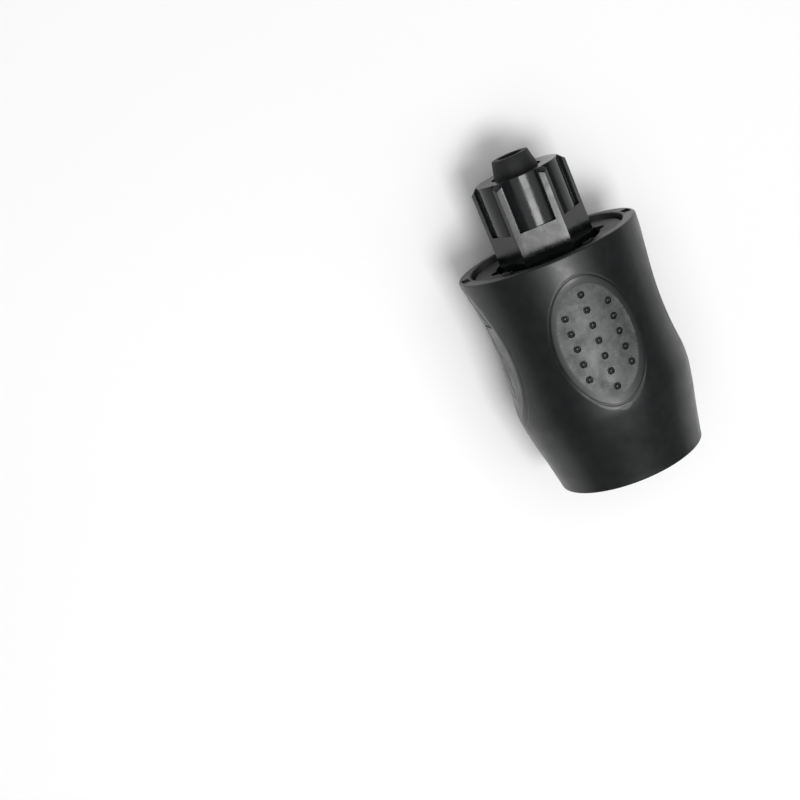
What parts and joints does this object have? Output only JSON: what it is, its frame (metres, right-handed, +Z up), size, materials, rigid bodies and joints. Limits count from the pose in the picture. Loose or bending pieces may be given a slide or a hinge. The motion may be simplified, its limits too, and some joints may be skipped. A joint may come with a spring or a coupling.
{
  "type": "push-pull cable connector",
  "caption": "Push-pull cable connector for solar and battery wiring, with a spring-loaded grip sleeve that slides back to release, and a hexagonal gland nut sealing the cable.",
  "frame": {"origin": "centre of the mating face, on the connector's axis", "axes": "+X out of the mating face, away from the cable; +Z up through a dotted thumb pad, with the connector lying on its side; +Y through an arrow pad"},
  "size_m": [0.0819, 0.0458, 0.044],
  "materials": {
    "sleeve_plastic": "moulded black plastic, satin, with finer matte texture in the thumb pads",
    "body_plastic": "moulded black plastic, satin",
    "nut_plastic": "moulded black plastic, semi-gloss",
    "insert_plastic": "black insulating plastic, matte",
    "seal_rubber": "black rubber, matte",
    "contact_brass": "plated brass",
    "spring_steel": "bright spring steel"
  },
  "bodies": {
    "body": {"body_shell": "body_plastic", "contact_insert": "insert_plastic", "terminal_block": "insert_plastic", "contact_line": "contact_brass", "contact_neutral": "contact_brass", "contact_earth": "contact_brass", "terminal_screws": "spring_steel", "interface_seal": "seal_rubber", "rear_housing": "body_plastic", "housing_o_ring": "seal_rubber", "spring_collar": "body_plastic", "snap_ring": "spring_steel", "latch_pins": "spring_steel", "cable_grommet": "seal_rubber", "strain_relief_cage": "body_plastic", "return_spring": "spring_steel"},
    "sleeve": {"coupling_sleeve": "sleeve_plastic", "sleeve_end_ring": "body_plastic"},
    "left_latch": {"latch_arm_left": "insert_plastic"},
    "right_latch": {"latch_arm_right": "insert_plastic"},
    "gland_washer": {"thrust_washer": "insert_plastic"},
    "gland_nut": {"gland_nut": "nut_plastic"}
  },
  "joints": [
    {"name": "sleeve_slide", "type": "slide", "parent": "body", "child": "sleeve", "axis": [-1, 0, 0], "range_m": [0, 0.005], "stiffness_N_per_m": 1500, "springref_m": -0.006, "deforming": ["return_spring"]},
    {"name": "left_latch_lift", "type": "hinge", "parent": "body", "child": "left_latch", "pos_m": [-0.0175, 0.01445, 0], "axis": [0, 0, 1], "range_deg": [0, 9.01]},
    {"name": "right_latch_lift", "type": "hinge", "parent": "body", "child": "right_latch", "pos_m": [-0.0175, -0.01445, 0], "axis": [0, 0, -1], "range_deg": [0, 9.01]},
    {"name": "gland_slide", "type": "slide", "parent": "body", "child": "gland_washer", "axis": [-1, 0, 0], "range_m": [0, 0.01]},
    {"name": "nut_turn", "type": "hinge", "parent": "gland_washer", "child": "gland_nut", "pos_m": [-0.065, 0, 0], "axis": [-1, 0, 0], "range_deg": [0, 2380]}
  ],
  "couplings": [
    {"joint": "left_latch_lift", "follows": "sleeve_slide", "rad_per_m": 31.416},
    {"joint": "right_latch_lift", "follows": "sleeve_slide", "rad_per_m": 31.416},
    {"joint": "gland_slide", "follows": "nut_turn", "m_per_rad": 0.00023873}
  ]
}
